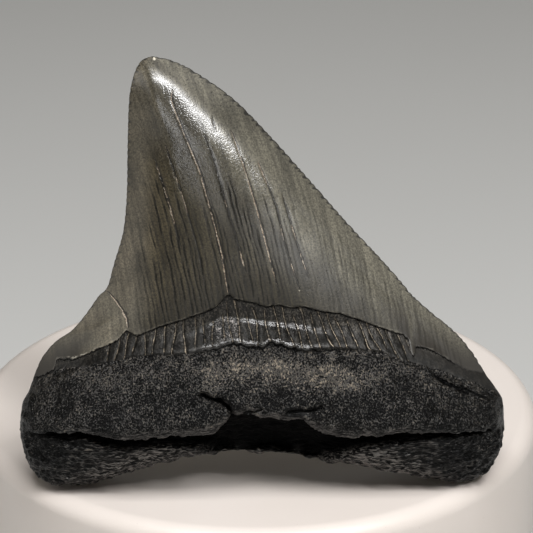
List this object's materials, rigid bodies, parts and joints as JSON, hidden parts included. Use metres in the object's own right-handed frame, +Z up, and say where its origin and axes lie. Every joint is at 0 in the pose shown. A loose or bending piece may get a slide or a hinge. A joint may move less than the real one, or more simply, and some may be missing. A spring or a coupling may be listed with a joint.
{
  "type": "megalodon tooth on a round stand",
  "caption": "Fossil megalodon tooth with a slanted serrated crown, sunken neck band and two-lobed root, standing on a low round plinth.",
  "frame": {"origin": "middle of the stand's underside", "axes": "+Z up, the tooth's lingual face towards -Y, its tip leaning towards -X"},
  "size_m": [0.0616, 0.0616, 0.0594],
  "materials": {
    "tooth": "dark grey glossy enamel over a matt black granular root",
    "stand": "smooth satin cream white"
  },
  "bodies": {
    "root": {"tooth": "tooth", "stand": "stand"}
  },
  "joints": []
}
